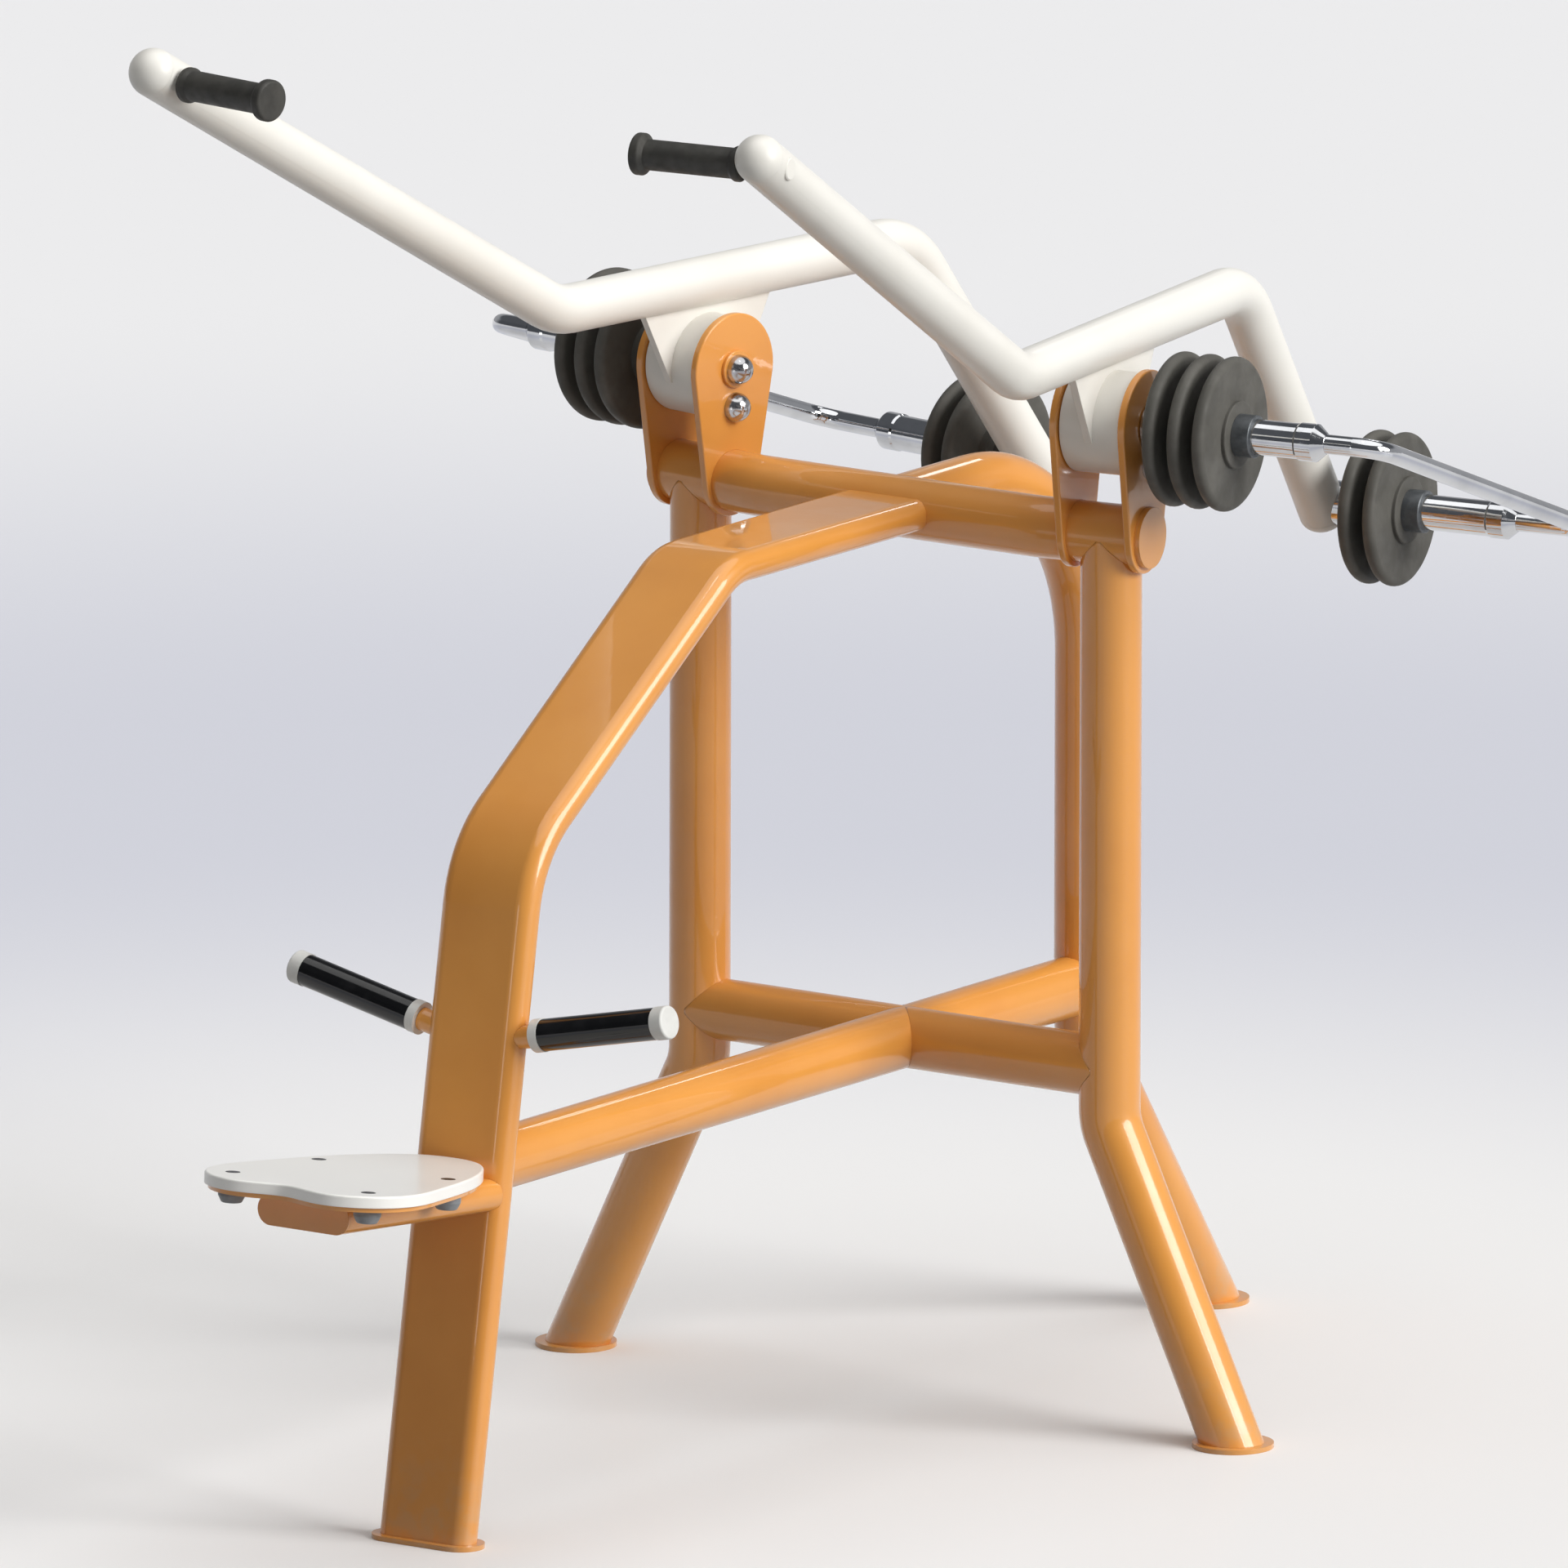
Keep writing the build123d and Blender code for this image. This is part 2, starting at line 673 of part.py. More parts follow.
with BuildPart() as arm_front_cap:
    with Locations(handle_end):
        Sphere(arm_radius)
        Sphere(arm_radius - arm_wall, mode=Mode.SUBTRACT)
    split(bisect_by=Plane(origin=handle_end, z_dir=handle_way), keep=Keep.BOTTOM)
    add(grip_rod.part, mode=Mode.SUBTRACT)
write_pair(arm_front_cap, "arm_front_cap")

with BuildPart() as arm_rear_cap:
    tail_lathe = Plane(origin=tail_end, x_dir=tail_out, z_dir=outward)
    cap = turned(tail_lathe, [(0, 0), (0, arm_radius), (tail_cap_length, arm_radius), (tail_cap_length, 0)])
    add(cap.fillet(tail_cap_edge, cap.edges().group_by(Axis(tail_end, tail_out))[-1]))
    with BuildSketch(Plane(origin=tail_end, z_dir=tail_out)):
        Circle(arm_radius - tail_cap_edge)
    extrude(amount=tail_cap_length - arm_wall, mode=Mode.SUBTRACT)
write_pair(arm_rear_cap, "arm_rear_cap")

# Hub: a shell with two end discs, each with a bearing and a curved slot for the stop bolt
hub_length = ear_gap - 2 * side_play
hub_face = hub_length / 2
slot_arc = CenterArc((0, 0), stop_drop, straight_down - arm_travel, arm_travel)
with BuildPart() as hub:
    with BuildSketch(pivot_plane.offset(-hub_face)):
        Circle(hub_radius)
    extrude(amount=hub_length)
    fillet(edges().filter_by(GeomType.CIRCLE), hub_edge)
    with BuildSketch(pivot_plane.offset(-hub_face)):
        Circle(hub_radius - hub_wall)
    extrude(amount=hub_length, mode=Mode.SUBTRACT)
write_pair(hub, "hub")

with BuildPart() as hub_discs:
    with BuildSketch(pivot_plane.offset(-hub_face), pivot_plane.offset(hub_face - hub_disc_thickness)):
        Circle(hub_radius - hub_wall)
        Circle(bearing_radius, mode=Mode.SUBTRACT)
        SlotArc(slot_arc, 2 * (thread_radius + slip_fit), mode=Mode.SUBTRACT)
    extrude(amount=hub_disc_thickness)
write_pair(hub_discs, "hub_discs")

with BuildPart() as hub_bearings:
    with BuildSketch(pivot_plane.offset(-hub_face), pivot_plane.offset(hub_face - hub_disc_thickness)):
        Circle(bearing_radius)
        Circle(axle_radius + running_fit, mode=Mode.SUBTRACT)
    extrude(amount=hub_disc_thickness)
write_pair(hub_bearings, "hub_bearings")

# Gusset: a web in the arm's plane, its slanted edges tangent to the hub
web_top = arm_rise - arm_radius
corner_reach = hypot(gusset_half_width, web_top)
touch = atan2(web_top, gusset_half_width) - acos(hub_radius / corner_reach)
touch_point = Vector(hub_radius * cos(touch), hub_radius * sin(touch))
edge_lean = (gusset_half_width - touch_point.X) / (web_top - touch_point.Y)
tip_half = touch_point.X + edge_lean * (-gusset_tip_drop - touch_point.Y)
top_half = touch_point.X + edge_lean * (arm_rise - touch_point.Y)
with BuildPart() as gusset:
    with BuildSketch(pivot_plane.offset(-gusset_thickness / 2)):
        with BuildLine():
            Polyline((-top_half, arm_rise), (top_half, arm_rise), (tip_half, -gusset_tip_drop),
                     (-tip_half, -gusset_tip_drop), close=True)
        make_face()
        Circle(hub_radius, mode=Mode.SUBTRACT)
    extrude(amount=gusset_thickness)
    add(arm_core, mode=Mode.SUBTRACT)
write_pair(gusset, "gusset")

# Rubber grips, flanged at both ends and closed at the inner one
with BuildPart() as grip:
    sock = turned(grip_lathe, [
        (grip_start, grip_rod_radius), (grip_start, grip_near_flange_radius),
        (grip_start + grip_near_flange, grip_near_flange_radius),
        (grip_start + grip_near_flange + grip_waist, grip_radius),
        (grip_end - grip_far_flange - grip_waist, grip_radius),
        (grip_end - grip_far_flange, grip_far_flange_radius), (grip_end, grip_far_flange_radius),
        (grip_end, 0), (grip_rod_end, 0), (grip_rod_end, grip_rod_radius)])
    rims = sock.edges().filter_by(GeomType.CIRCLE).group_by(SortBy.RADIUS)
    sock = sock.fillet(grip_far_edge, rims[-1])
    rims = [e for e in sock.edges().filter_by(GeomType.CIRCLE)
            if abs(e.radius - grip_near_flange_radius) < running_fit]
    add(sock.fillet(grip_near_edge, rims))
write_pair(grip, "grip")

# Sleeves: a shoulder, the plates' seat, a raised collar and a cone down to the rod
def sleeve_outline(start, plates_from, sleeve_end, bore, bore_end):
    """Outline of a turned sleeve, with a blind bore from its inner end."""
    cone_from = sleeve_end + collar_length
    cone_end = cone_from + cone_length
    outline = [(start, bore), (start, shoulder_radius), (plates_from, shoulder_radius),
               (plates_from, sleeve_radius), (sleeve_end, sleeve_radius),
               (sleeve_end + collar_bevel, collar_radius), (cone_from, collar_radius),
               (cone_end, rod_radius), (cone_end - rod_root, rod_radius), (cone_end - rod_root, 0)]
    return outline + ([(bore_end, 0), (bore_end, bore)] if bore else [])


pivot_sleeve_start = ear_outer_face + side_play
pivot_plate_start = pivot_sleeve_start + pivot_shoulder
pivot_stack_end = pivot_plate_start + pivot_plate_count * plate_pitch
pivot_sleeve_end = pivot_stack_end + pivot_spare_length
pivot_cone_end = pivot_sleeve_end + collar_length + cone_length
rear_plate_start = arm_radius + rear_shoulder
rear_stack_end = rear_plate_start + rear_plate_count * plate_pitch
rear_sleeve_end = rear_stack_end + rear_spare_length
rear_cone_end = rear_sleeve_end + collar_length + cone_length
with BuildPart() as pivot_sleeve:
    add(turned(lathe, sleeve_outline(pivot_sleeve_start, pivot_plate_start, pivot_sleeve_end,
                                     bush_radius, axle_outer_end + side_play)))
write_pair(pivot_sleeve, "pivot_sleeve")

tail_behind = Vector(-tail_way.Y, tail_way.X, 0)
rear_axis = tail_tip - tail_way * rear_axis_up + tail_behind * rear_axis_behind
rear_lathe = Plane(origin=pivot_plane.from_local_coords(rear_axis), x_dir=outward, z_dir=rearward)
with BuildPart() as rear_sleeve:
    add(turned(rear_lathe, sleeve_outline(0, rear_plate_start, rear_sleeve_end, 0, 0)))
    add(arm_core, mode=Mode.SUBTRACT)
    add(turned(tail_lathe, [(0, 0), (0, arm_radius), (tail_cap_length + overrun, arm_radius),
                            (tail_cap_length + overrun, 0)]), mode=Mode.SUBTRACT)
write_pair(rear_sleeve, "rear_sleeve")

# Bush in the pivot sleeve, which turns on the stub of the axle
with BuildPart() as sleeve_bush:
    add(turned(lathe, [(pivot_sleeve_start, axle_radius + running_fit), (pivot_sleeve_start, bush_radius),
                       (axle_outer_end, bush_radius), (axle_outer_end, axle_radius + running_fit)]))
write_pair(sleeve_bush, "sleeve_bush")

# Weight plates, rounded at the rim, with a thicker boss round the sleeve that spaces them
plate_middle = plate_pitch - slip_fit
disc_to = plate_middle - plate_boss_proud
disc_from = disc_to - plate_thickness
plate_bore = sleeve_radius + slip_fit
plate_outline = [
    (0, plate_bore), (0, plate_boss_radius), (disc_from, plate_boss_radius), (disc_from, plate_radius),
    (disc_to, plate_radius), (disc_to, plate_boss_radius), (plate_middle, plate_boss_radius),
    (plate_middle, plate_bore)]


def weight_plate(plane, start):
    """A weight plate whose inner side lies at a place along the plane's x axis."""
    disc = turned(plane, [(start + place, radius) for place, radius in plate_outline])
    circles = disc.edges().filter_by(GeomType.CIRCLE).group_by(SortBy.RADIUS)
    disc = disc.fillet(plate_rim_radius, circles[-1])
    front = disc.edges().filter_by(GeomType.CIRCLE).group_by(Axis(plane.origin, plane.x_dir))[-1]
    return disc.fillet(plate_boss_edge, front.group_by(SortBy.RADIUS)[-1])


with BuildPart() as weight_plates:
    for number in range(pivot_plate_count):
        add(weight_plate(lathe, pivot_plate_start + number * plate_pitch))
    for number in range(rear_plate_count):
        add(weight_plate(rear_lathe, rear_plate_start + number * plate_pitch))
write_pair(weight_plates, "weight_plates")

# Retaining rings clamp each stack of plates against its shoulder
def retaining_ring(plane, stack_end):
    """A ring on a sleeve, seated in the last plate's recess."""
    inner = stack_end - slip_fit
    outer = stack_end + ring_length
    return turned(plane, [(inner, sleeve_radius), (inner, ring_radius), (outer - ring_edge, ring_radius),
                          (outer, ring_radius - ring_edge), (outer, sleeve_radius)])


with BuildPart() as retaining_rings:
    add(retaining_ring(lathe, pivot_stack_end))
    add(retaining_ring(rear_lathe, rear_stack_end))
write_pair(retaining_rings, "retaining_rings")

# Bent rod from one sleeve to the other
rod_reach = pivot_cone_end + rod_run
rod_points = [pivot_plane.from_local_coords(spot) for spot in (
    (0, 0, pivot_cone_end - rod_root), (0, 0, rod_reach),
    (rear_axis.X, rear_axis.Y, rod_reach), (rear_axis.X, rear_axis.Y, rear_cone_end - rod_root))]
with BuildPart() as weight_bar:
    with BuildLine() as run:
        FilletPolyline(*rod_points, radius=rod_elbow_radius)
    with BuildSketch(Plane(origin=run.line @ 0, z_dir=run.line % 0)):
        Circle(rod_radius)
    sweep(path=run.line)
write_pair(weight_bar, "weight_bar")
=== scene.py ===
import bpy
from math import cos, pi, radians, sin
from mathutils import Matrix, Vector

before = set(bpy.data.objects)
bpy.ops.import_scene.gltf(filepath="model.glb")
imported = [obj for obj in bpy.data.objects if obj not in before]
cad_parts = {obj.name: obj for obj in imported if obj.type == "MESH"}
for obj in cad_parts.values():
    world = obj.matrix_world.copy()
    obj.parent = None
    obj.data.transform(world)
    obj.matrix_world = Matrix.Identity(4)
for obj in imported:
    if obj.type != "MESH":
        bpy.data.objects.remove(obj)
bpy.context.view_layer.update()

# Camera: stands to the right of the user's side, a little above the handles, and looks along
# parallel lines like a drawing. A very long lens from far away gives that, with upright edges upright.
camera_azimuth = radians(35.046)
camera_elevation = radians(12.096)
camera_roll = radians(0.132)
camera_distance = 84.51
camera_aim = Vector((0.0330, 0.0040, 0.8270))
camera_sensor = 36.0
camera_lens_to_sensor = 44.0
nearest_to_distance = 0.01
furthest_to_distance = 3.0
level_share = cos(camera_elevation)
towards_camera = Vector((sin(camera_azimuth) * level_share, -cos(camera_azimuth) * level_share,
                         sin(camera_elevation)))
camera = bpy.data.objects.new("camera", bpy.data.cameras.new("camera"))
camera.data.sensor_width = camera_sensor
camera.data.lens = camera_lens_to_sensor * camera_sensor
camera.data.clip_start = camera_distance * nearest_to_distance
camera.data.clip_end = camera_distance * furthest_to_distance
camera_place = Matrix.Translation(camera_aim + towards_camera * camera_distance)
camera_turn = towards_camera.to_track_quat("Z", "Y").to_matrix() @ Matrix.Rotation(camera_roll, 3, "Z")
camera.matrix_world = camera_place @ camera_turn.to_4x4()
bpy.context.scene.collection.objects.link(camera)
bpy.context.scene.camera = camera
bpy.context.scene.view_settings.view_transform = "Standard"

# Studio light: one broad light from the right, a wide weaker one overhead and a soft pale room.
# The softboxes add no light of their own to a surface. They only show in gloss, where they draw the
# thin bright lines along the tubes.
softbox_distance = 5.2


def shine_from(name, direction, angle, strength, colour):
    """A far, soft, round light in a direction."""
    lamp = bpy.data.objects.new(name, bpy.data.lights.new(name, "SUN"))
    lamp.data.angle = radians(angle)
    lamp.data.energy = strength
    lamp.data.color = colour
    lamp.rotation_euler = Vector(direction).to_track_quat("Z", "Y").to_euler()
    bpy.context.scene.collection.objects.link(lamp)


def softbox(name, direction, width, height, brightness):
    """A rectangular softbox that faces the middle of the machine and only shows in gloss."""
    lamp = bpy.data.objects.new(name, bpy.data.lights.new(name, "AREA"))
    lamp.data.shape = "RECTANGLE"
    lamp.data.size = width
    lamp.data.size_y = height
    lamp.data.energy = brightness * pi * width * height
    lamp.location = camera_aim + Vector(direction).normalized() * softbox_distance
    lamp.rotation_euler = Vector(direction).to_track_quat("Z", "Y").to_euler()
    lamp.visible_diffuse = False
    lamp.visible_camera = False
    bpy.context.scene.collection.objects.link(lamp)


shine_from("key", (0.87, 0.12, 0.42), angle=36, strength=2.75, colour=(1.0, 0.99, 0.965))
shine_from("top_light", (0.10, 0.0, 1.0), angle=70, strength=1.4, colour=(1.0, 0.995, 0.985))
softbox("front_softbox", (-0.09, -0.99, 0.07), width=0.7, height=1.1, brightness=3)
softbox("back_softbox", (-0.20, 0.80, 0.565), width=0.6, height=0.3, brightness=7)
softbox("top_softbox", (0.12, 0.0, 1.0), width=0.5, height=0.3, brightness=12)
softbox("right_softbox", (0.97, -0.12, 0.22), width=0.4, height=1.3, brightness=5)

# Room: what lights the machine softly from all round, what its gloss mirrors, with dark walls in front
# and overhead and a pale wall behind, and the pale wall that is seen past the floor's edge.
fill_colour = (1.0, 0.985, 0.96)
fill_strength = 0.17
front_wall = (0.09, 0.095, 0.105)
back_wall = (0.40, 0.405, 0.42)
ceiling = (0.11, 0.115, 0.125)
seen_wall = (0.80, 0.82, 0.86)
front_to_back = (-0.3, 0.3)
wall_to_ceiling = (0.34, 0.52)


def new_node(tree, kind, **settings):
    """A shader node with some of its sockets set."""
    node = tree.nodes.new(kind)
    for socket, value in settings.items():
        node.inputs[socket.replace("_", " ")].default_value = value
    return node


def reckon(tree, operation, first, second):
    """One sum on two values of a material."""
    node = tree.nodes.new("ShaderNodeMath")
    node.operation = operation
    tree.links.new(first, node.inputs[0])
    tree.links.new(second, node.inputs[1])
    return node.outputs["Value"]


def seen_directly(tree):
    """1 for what the camera sees, mirrored or through glass too, and 0 for the light that falls on things."""
    ray = tree.nodes.new("ShaderNodeLightPath").outputs
    seen_or_mirrored = reckon(tree, "MAXIMUM", ray["Is Camera Ray"], ray["Is Glossy Ray"])
    return reckon(tree, "MAXIMUM", seen_or_mirrored, ray["Is Transmission Ray"])


def spread(tree, value, start, end, low=0, high=1):
    """Turns a value that runs from start to end into one that runs from low to high and stops there."""
    fit = tree.nodes.new("ShaderNodeMapRange")
    fit.interpolation_type = "SMOOTHSTEP"
    for socket, number in zip(("From Min", "From Max", "To Min", "To Max"), (start, end, low, high)):
        fit.inputs[socket].default_value = number
    tree.links.new(value, fit.inputs["Value"])
    return fit.outputs["Result"]


def tinted(tree, share, first, second):
    """A colour between two, by a share. Either may be a colour or another node's output."""
    mix = tree.nodes.new("ShaderNodeMix")
    mix.data_type = "RGBA"
    share_socket, first_socket, second_socket = mix.inputs[0], mix.inputs[6], mix.inputs[7]
    tree.links.new(share, share_socket)
    for socket, colour in ((first_socket, first), (second_socket, second)):
        if isinstance(colour, tuple):
            socket.default_value = (*colour, 1)
        else:
            tree.links.new(colour, socket)
    return mix.outputs[2]


def blend(tree, share, first, second):
    """Two shaders mixed by a share, which is a number or another node's output."""
    mix = tree.nodes.new("ShaderNodeMixShader")
    if isinstance(share, float):
        mix.inputs["Fac"].default_value = share
    else:
        tree.links.new(share, mix.inputs["Fac"])
    tree.links.new(first, mix.inputs[1])
    tree.links.new(second, mix.inputs[2])
    return mix.outputs["Shader"]


room = bpy.data.worlds.new("studio")
bpy.context.scene.world = room
room.use_nodes = True
tree = room.node_tree
tree.nodes.clear()
fill = new_node(tree, "ShaderNodeBackground", Color=(*fill_colour, 1), Strength=fill_strength)
seen_room = new_node(tree, "ShaderNodeBackground", Strength=1.0)
direction = tree.nodes.new("ShaderNodeTexCoord")
heading = tree.nodes.new("ShaderNodeSeparateXYZ")
tree.links.new(direction.outputs["Generated"], heading.inputs["Vector"])
walls = tinted(tree, spread(tree, heading.outputs["Y"], *front_to_back), front_wall, back_wall)
mirrored_room = tinted(tree, spread(tree, heading.outputs["Z"], *wall_to_ceiling), walls, ceiling)
looked_at = tree.nodes.new("ShaderNodeLightPath").outputs["Is Camera Ray"]
tree.links.new(tinted(tree, looked_at, mirrored_room, seen_wall), seen_room.inputs["Color"])
whole_room = blend(tree, seen_directly(tree), fill.outputs["Background"], seen_room.outputs["Background"])
room_out = tree.nodes.new("ShaderNodeOutputWorld")
tree.links.new(whole_room, room_out.inputs["Surface"])

# Floor: a wide sheet of pale studio floor with a thin wax. It is whitest close to the machine and far
# off, and a cool grey between. It keeps the machine's shadow and a weak reflection of its feet.
floor_reach = 40.0
near_white = (0.89, 0.89, 0.90)
cool_grey = (0.655, 0.67, 0.75)
far_white = (0.865, 0.87, 0.895)
bounced_grey = (0.30, 0.30, 0.30)
near_to_cool = (1.4, 3.6)
cool_to_far = (4.2, 7.0)
wax_share = 0.035
wax_roughness = (0.24, 0.27)
corners = [(x * floor_reach, y * floor_reach, 0) for x, y in ((-1, -1), (1, -1), (1, 1), (-1, 1))]
floor_mesh = bpy.data.meshes.new("floor")
floor_mesh.from_pydata(corners, [], [(0, 1, 2, 3)])
floor = bpy.data.objects.new("floor", floor_mesh)
bpy.context.scene.collection.objects.link(floor)


def start_finish(name, roughness, metallic=0.0, coat=0.0, coat_roughness=0.1, specular=0.5):
    """A new material: its node tree and its shader, with what is the same all over set on the shader."""
    material = bpy.data.materials.new(name)
    material.use_nodes = True
    shader = material.node_tree.nodes["Principled BSDF"]
    shader.inputs["Roughness"].default_value = roughness
    shader.inputs["Metallic"].default_value = metallic
    shader.inputs["Coat Weight"].default_value = coat
    shader.inputs["Coat Roughness"].default_value = coat_roughness
    shader.inputs["Specular IOR Level"].default_value = specular
    return material, material.node_tree, shader


def cloudy(tree, scale, detail=4.0, stretch=(1, 1, 1)):
    """Soft random clouds fixed to the piece, stretched along an axis for brushed or drawn metal."""
    where = tree.nodes.new("ShaderNodeTexCoord")
    sized = new_node(tree, "ShaderNodeMapping", Scale=stretch)
    clouds = new_node(tree, "ShaderNodeTexNoise", Scale=scale, Detail=detail)
    tree.links.new(where.outputs["Object"], sized.inputs["Vector"])
    tree.links.new(sized.outputs["Vector"], clouds.inputs["Vector"])
    return clouds.outputs["Fac"]


floor_finish, tree, shader = start_finish("studio_floor", roughness=0.34, specular=0.0)
where = tree.nodes.new("ShaderNodeTexCoord")
far_off = tree.nodes.new("ShaderNodeVectorMath")
far_off.operation = "LENGTH"
tree.links.new(where.outputs["Object"], far_off.inputs[0])
near_floor = tinted(tree, spread(tree, far_off.outputs["Value"], *near_to_cool), near_white, cool_grey)
whole_floor = tinted(tree, spread(tree, far_off.outputs["Value"], *cool_to_far), near_floor, far_white)
soft_bounce = tinted(tree, seen_directly(tree), bounced_grey, whole_floor)
tree.links.new(soft_bounce, shader.inputs["Base Color"])
wax = new_node(tree, "ShaderNodeBsdfGlossy", Color=(1, 1, 1, 1))
tree.links.new(spread(tree, cloudy(tree, 6.0), 0.3, 0.7, *wax_roughness), wax.inputs["Roughness"])
waxed = blend(tree, wax_share, shader.outputs["BSDF"], wax.outputs["BSDF"])
tree.links.new(waxed, tree.nodes["Material Output"].inputs["Surface"])
floor.data.materials.append(floor_finish)

# Welded frame: bent and straight round tubes, the flat-oval front arch and seat arm, the plates that
# carry the pivots and the feet. All of it is welded up, then coated in one glossy orange paint.
orange = (0.83, 0.355, 0.066)
orange_deep = (0.78, 0.318, 0.054)
dust = (0.52, 0.40, 0.27)
dust_height = 0.16
dust_most = 0.30
worn_edge = 0.0012
orange_peel_height = 0.00003
paint_flow_height = 0.00005


def rounded_edges(tree, radius):
    """Normals that turn softly over a piece's edges, as paint and handling round them."""
    edge = new_node(tree, "ShaderNodeBevel", Radius=radius)
    edge.samples = 4
    return edge.outputs["Normal"]


def uneven(tree, shader, height, depth, normal=None, socket="Normal"):
    """Feeds a height into a shader's normal, so that its surface is a little uneven."""
    bump = new_node(tree, "ShaderNodeBump", Strength=1.0, Distance=depth)
    tree.links.new(height, bump.inputs["Height"])
    if normal is not None:
        tree.links.new(normal, bump.inputs["Normal"])
    tree.links.new(bump.outputs["Normal"], shader.inputs[socket])


def height_above_ground(tree):
    """Height above the ground of each point of a piece, in metres."""
    where = tree.nodes.new("ShaderNodeTexCoord")
    parts = tree.nodes.new("ShaderNodeSeparateXYZ")
    tree.links.new(where.outputs["Object"], parts.inputs["Vector"])
    return parts.outputs["Z"]


def dress(material, *names):
    """Gives CAD pieces their finish."""
    for name in names:
        for material_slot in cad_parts[name].material_slots:
            material_slot.material = material


def left_and_right(*names):
    """The full names of pieces that come in a left and right pair."""
    return [f"{side}_{name}" for name in names for side in ("left", "right")]


frame_paint, tree, shader = start_finish("frame_paint", roughness=0.36, coat=0.8, coat_roughness=0.03)
even_paint = tinted(tree, spread(tree, cloudy(tree, 5.0), 0.35, 0.70), orange, orange_deep)
low_down = spread(tree, height_above_ground(tree), 0.0, dust_height, dust_most, 0.0)
in_patches = spread(tree, cloudy(tree, 30.0, 6.0), 0.40, 0.62, 0.2, 1.0)
dusted = reckon(tree, "MULTIPLY", low_down, in_patches)
tree.links.new(tinted(tree, dusted, even_paint, dust), shader.inputs["Base Color"])
tree.links.new(spread(tree, cloudy(tree, 14.0, 5.0), 0.3, 0.7, 0.30, 0.42), shader.inputs["Roughness"])
uneven(tree, shader, cloudy(tree, 420.0, 2.0), orange_peel_height, rounded_edges(tree, worn_edge))
uneven(tree, shader, cloudy(tree, 60.0, 2.0), paint_flow_height, rounded_edges(tree, worn_edge),
       socket="Coat Normal")
dress(frame_paint, "cross_tube", "cross_tube_caps", "front_arch", "front_foot", "left_post", "right_post",
      "rear_post", "round_feet", "long_brace", "side_braces", "inner_ears", "outer_ears", "pivot_bosses",
      "seat_arm", "seat_arm_cap", "seat_plate", "roller_axles")

# Pivot axles, bearings, stop bolts and dome nuts: turned from bar, hardened and polished, with a
# faint haze where they have been handled.
steel = (0.55, 0.55, 0.56)
steel_dull = (0.42, 0.42, 0.44)


def finish(name, tones, patches, patch_range, grain, grain_height, edge=None, gloss=None,
           gloss_patches=None, gloss_range=(0.3, 0.7), **same_all_over):
    """A piece's material. Patches of a second tone lie in its colour and more patches vary its gloss.
    A fine grain lifts its surface, and its edges are rounded by a radius where one is given.
    Patches and grain are the scale, detail and stretch of clouds."""
    material, tree, shader = start_finish(name, **same_all_over)
    toned = tinted(tree, spread(tree, cloudy(tree, *patches), *patch_range), *tones)
    tree.links.new(toned, shader.inputs["Base Color"])
    if gloss:
        glossed = spread(tree, cloudy(tree, *gloss_patches), *gloss_range, *gloss)
        tree.links.new(glossed, shader.inputs["Roughness"])
    edges = rounded_edges(tree, edge) if edge else None
    uneven(tree, shader, cloudy(tree, *grain), grain_height, edges)
    return material


polished = finish("polished_steel", roughness=0.16, metallic=1.0,
                  tones=(steel, steel_dull), patches=(40.0,), patch_range=(0.3, 0.7),
                  gloss=(0.12, 0.24), gloss_patches=(90.0, 6.0),
                  grain=(900.0, 2.0), grain_height=0.00002, edge=0.0008)
dress(polished, "pivot_axles", "stop_bolts", "dome_nuts", *left_and_right("hub_bearings"))

# Seat: cut from thick white plastic sheet with its top edge eased, screwed down on a steel plate.
# Sitting and wiping have left its gloss a little uneven.
seat_white = (0.94, 0.935, 0.91)
seat_worn = (0.93, 0.925, 0.90)
along_the_seat = (1, 0.3, 1)
seat_finish = finish("seat_plastic", roughness=0.3, coat=0.25, coat_roughness=0.18,
                     tones=(seat_white, seat_worn), patches=(9.0, 5.0), patch_range=(0.35, 0.72),
                     gloss=(0.28, 0.31), gloss_patches=(60.0, 8.0, along_the_seat),
                     grain=(250.0, 2.0), grain_height=0.00001, edge=0.0012)
dress(seat_finish, "seat")

# Seat screws and the rollers' end bolts: small zinc-plated fasteners. Their colour is made dark as painted
# shade, standing for the shade of their countersinks.
# Painted shade: both tones are much darker than bright zinc plate, to stand for the shade in the
# countersinks.
zinc_darkened_as_painted_shade = (0.16, 0.16, 0.17)
zinc_dull_darkened_as_painted_shade = (0.10, 0.10, 0.105)
zinc_finish_with_painted_shade = finish("zinc_plate_with_painted_shade", roughness=0.4, metallic=1.0,
                     tones=(zinc_darkened_as_painted_shade, zinc_dull_darkened_as_painted_shade), patches=(160.0,), patch_range=(0.35, 0.65),
                     gloss=(0.3, 0.5), gloss_patches=(300.0,),
                     grain=(1200.0, 2.0), grain_height=0.00002, edge=0.0006)
dress(zinc_finish_with_painted_shade, "seat_screws", "roller_end_bolts")

# Nut caps under the seat: moulded in grey plastic and pressed over the nuts.
cap_grey = (0.21, 0.225, 0.245)
cap_grey_light = (0.26, 0.275, 0.295)
nut_cap_finish = finish("grey_plastic", roughness=0.45,
                        tones=(cap_grey, cap_grey_light), patches=(60.0,), patch_range=(0.35, 0.65),
                        gloss=(0.38, 0.52), gloss_patches=(220.0,),
                        grain=(1500.0, 2.0), grain_height=0.00003, edge=0.0008)
dress(nut_cap_finish, "seat_nut_caps")

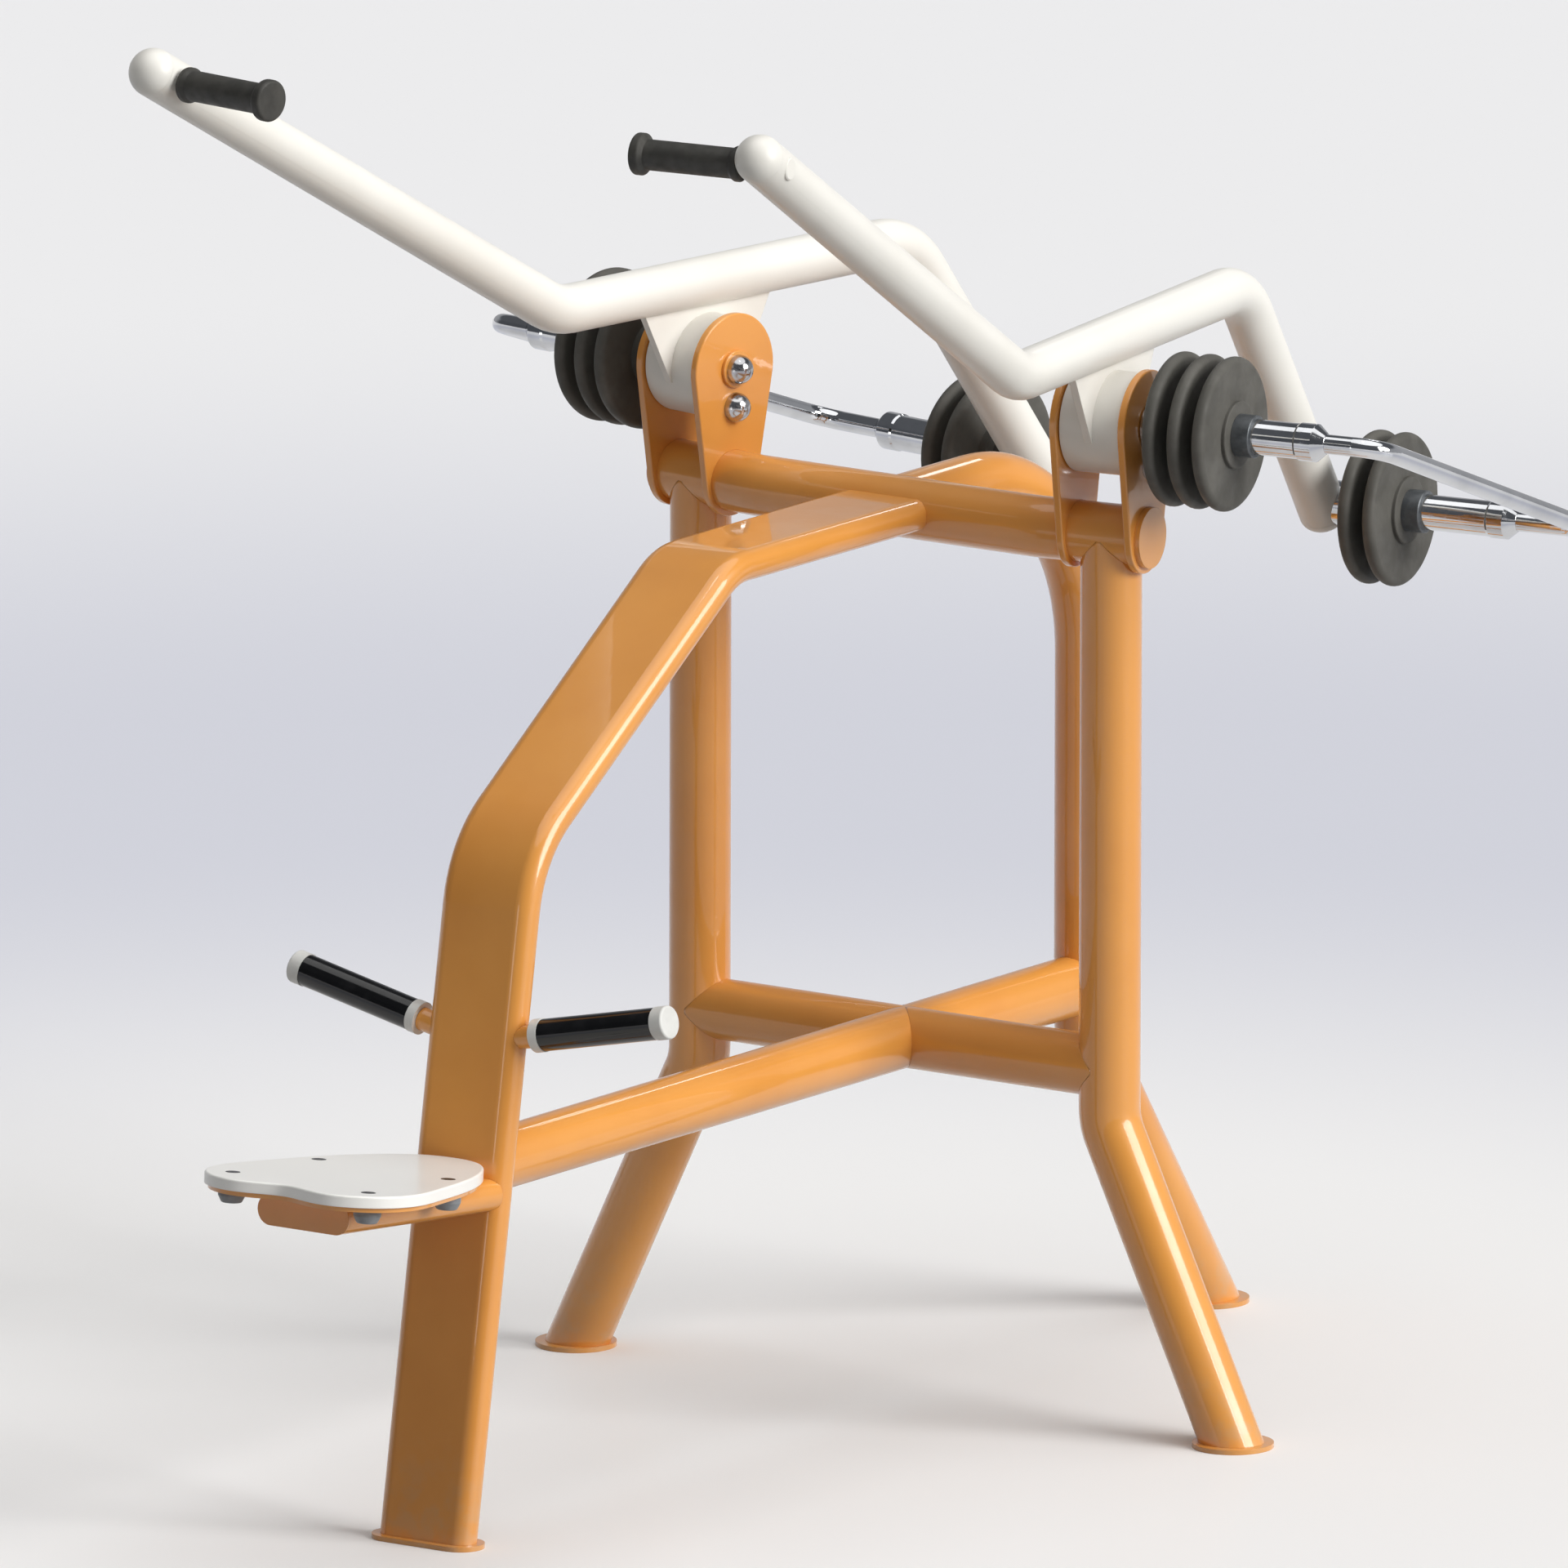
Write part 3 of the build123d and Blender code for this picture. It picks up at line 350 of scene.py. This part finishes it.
# Arms: bent steel tube with a welded hub, gusset and end caps, powder coated in a warm satin white.
# Dust darkens the coat a little in soft patches.
arm_white = (0.87, 0.855, 0.81)
arm_grimy = (0.83, 0.81, 0.76)
arm_paint = finish("arm_paint", roughness=0.40, coat=0.15, coat_roughness=0.25,
                   tones=(arm_white, arm_grimy), patches=(4.0, 6.0), patch_range=(0.42, 0.75),
                   gloss=(0.33, 0.47), gloss_patches=(18.0, 5.0),
                   grain=(650.0, 2.0), grain_height=0.00004, edge=0.0012)
dress(arm_paint, *left_and_right("arm_tube", "arm_front_cap", "arm_rear_cap", "hub", "hub_discs", "gusset",
                                 "grip_rod"))

# Grips: soft dark rubber socks pushed over the arms' steel stubs, with a fine moulded grain that
# hands have rubbed smoother in places.
grip_dark = (0.036, 0.035, 0.031)
grip_dusty = (0.055, 0.053, 0.047)
grip_finish = finish("grip_rubber", roughness=0.6, specular=0.4,
                     tones=(grip_dark, grip_dusty), patches=(45.0, 6.0), patch_range=(0.35, 0.70),
                     gloss=(0.48, 0.68), gloss_patches=(70.0,),
                     grain=(1100.0, 3.0), grain_height=0.00012, edge=0.001)
dress(grip_finish, *left_and_right("grip"))

# Chrome bars and sleeves: each side's bar is one bent bright rod with turned sleeves at both ends that
# carry the plates. The chrome mirrors the room, with faint wiping marks.
chrome_bright = (0.66, 0.67, 0.69)
chrome_hazy = (0.56, 0.57, 0.59)
chrome = finish("chrome", roughness=0.06, metallic=1.0,
                tones=(chrome_bright, chrome_hazy), patches=(16.0, 5.0), patch_range=(0.4, 0.7),
                gloss=(0.04, 0.13), gloss_patches=(120.0, 6.0), gloss_range=(0.45, 0.75),
                grain=(80.0, 2.0), grain_height=0.00002, edge=0.0008)
dress(chrome, *left_and_right("weight_bar", "pivot_sleeve", "rear_sleeve"))

# Bushes inside the pivot sleeves: oil-filled sintered bronze rings.
bronze_light = (0.50, 0.33, 0.15)
bronze_dark = (0.36, 0.22, 0.10)
bronze = finish("sintered_bronze", roughness=0.5, metallic=1.0,
                tones=(bronze_light, bronze_dark), patches=(500.0,), patch_range=(0.35, 0.65),
                grain=(1800.0,), grain_height=0.00003)
dress(bronze, *left_and_right("sleeve_bush"))

# Retaining rings: matt dark steel collars clamped on the sleeves against the plates.
ring_steel = (0.105, 0.115, 0.125)
ring_steel_light = (0.14, 0.15, 0.16)
ring_finish = finish("ring_steel", roughness=0.42, metallic=0.6,
                     tones=(ring_steel, ring_steel_light), patches=(90.0,), patch_range=(0.35, 0.65),
                     gloss=(0.36, 0.5), gloss_patches=(260.0,),
                     grain=(900.0, 2.0), grain_height=0.00003, edge=0.0008)
dress(ring_finish, *left_and_right("retaining_rings"))

# Weight plates: cast iron discs under a thick matt coat, dark warm grey with a fine pebbled grain,
# paler in patches where hands and weather have rubbed the coat.
plate_dark = (0.082, 0.079, 0.070)
plate_rubbed = (0.112, 0.108, 0.097)
plate_finish = finish("plate_coat", roughness=0.62, specular=0.35,
                      tones=(plate_dark, plate_rubbed), patches=(22.0, 7.0), patch_range=(0.38, 0.70),
                      gloss=(0.52, 0.70), gloss_patches=(50.0,),
                      grain=(480.0,), grain_height=0.00015, edge=0.002)
dress(plate_finish, *left_and_right("weight_plates"))

# Thigh rollers: a smooth black rubber sleeve glued between a white moulded collar and cap, turning on
# the axle welded to the front leg.
roller_black = (0.003, 0.003, 0.0035)
roller_scuffed = (0.008, 0.008, 0.009)
roller_finish = finish("roller_rubber", roughness=0.12,
                       tones=(roller_black, roller_scuffed), patches=(50.0, 6.0), patch_range=(0.45, 0.70),
                       gloss=(0.08, 0.16), gloss_patches=(90.0, 6.0), gloss_range=(0.4, 0.7),
                       grain=(240.0, 3.0), grain_height=0.00001)
dress(roller_finish, *left_and_right("roller_sleeve"))
moulded_white = (0.76, 0.76, 0.74)
moulded_shade = (0.69, 0.69, 0.67)
collar_finish = finish("moulded_white", roughness=0.38,
                       tones=(moulded_white, moulded_shade), patches=(35.0, 5.0), patch_range=(0.35, 0.70),
                       gloss=(0.3, 0.46), gloss_patches=(150.0,),
                       grain=(1300.0, 2.0), grain_height=0.00003, edge=0.0008)
dress(collar_finish, *left_and_right("roller_collar", "roller_cap"))
